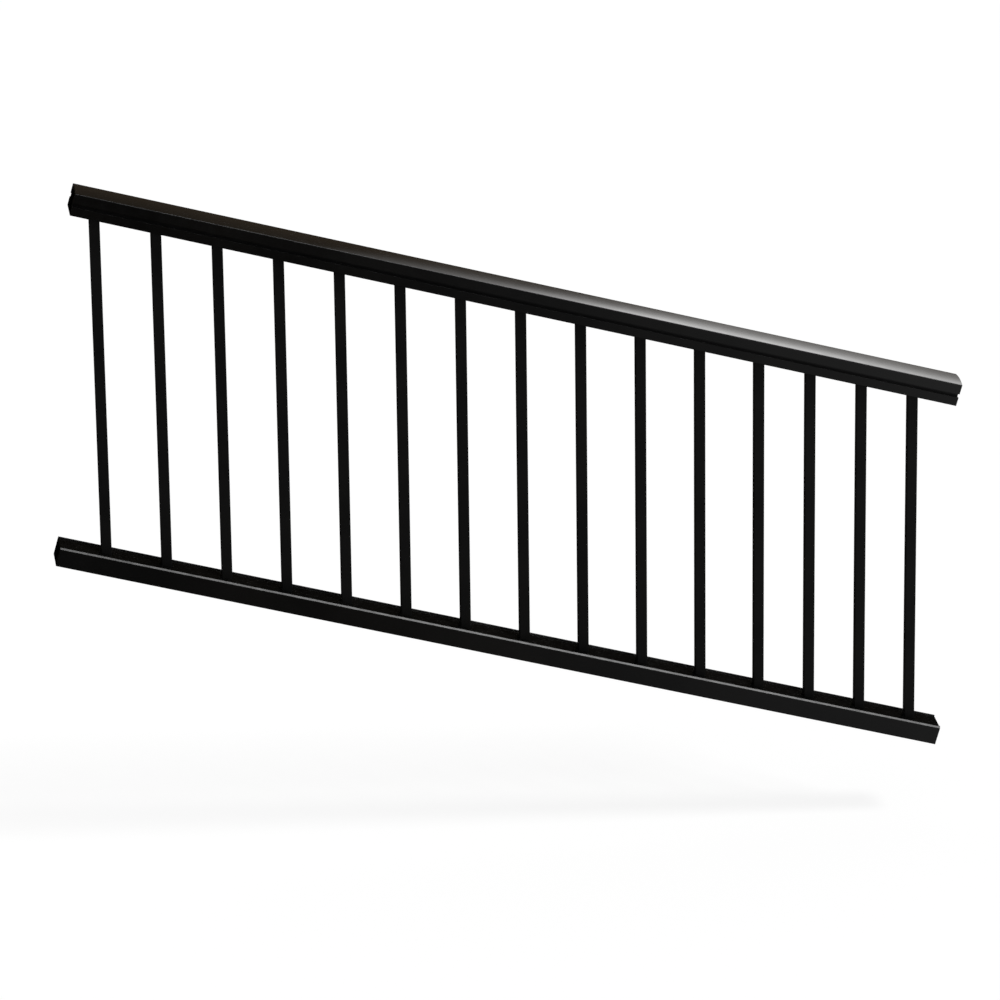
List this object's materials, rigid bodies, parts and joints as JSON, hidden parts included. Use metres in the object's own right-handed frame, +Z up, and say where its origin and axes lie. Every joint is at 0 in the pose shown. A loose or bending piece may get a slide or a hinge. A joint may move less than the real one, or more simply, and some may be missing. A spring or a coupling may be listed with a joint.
{
  "type": "aluminium stair railing panel",
  "caption": "Raked stair railing panel: plumb square balusters between a capped top rail and a lipped bottom rail, in black powder-coated aluminium.",
  "frame": {"origin": "on the cut end of the bottom rail at the foot of the stair, in the middle of its floor's thickness", "axes": "+X down the stair, +Y across the rails away from the viewed side, +Z up"},
  "size_m": [1.7728, 0.066, 1.2495],
  "materials": {
    "rail_coat": "gloss black powder coat",
    "insert_coat": "gloss black powder coat",
    "baluster_coat": "satin black powder coat"
  },
  "bodies": {
    "root": {"top_rail_cap": "rail_coat", "top_rail_channel": "rail_coat", "bottom_rail_channel": "rail_coat", "bottom_rail_insert": "insert_coat", "baluster_01": "baluster_coat", "baluster_02": "baluster_coat", "baluster_03": "baluster_coat", "baluster_04": "baluster_coat", "baluster_05": "baluster_coat", "baluster_06": "baluster_coat", "baluster_07": "baluster_coat", "baluster_08": "baluster_coat", "baluster_09": "baluster_coat", "baluster_10": "baluster_coat", "baluster_11": "baluster_coat", "baluster_12": "baluster_coat", "baluster_13": "baluster_coat", "baluster_14": "baluster_coat", "baluster_15": "baluster_coat"}
  },
  "joints": []
}
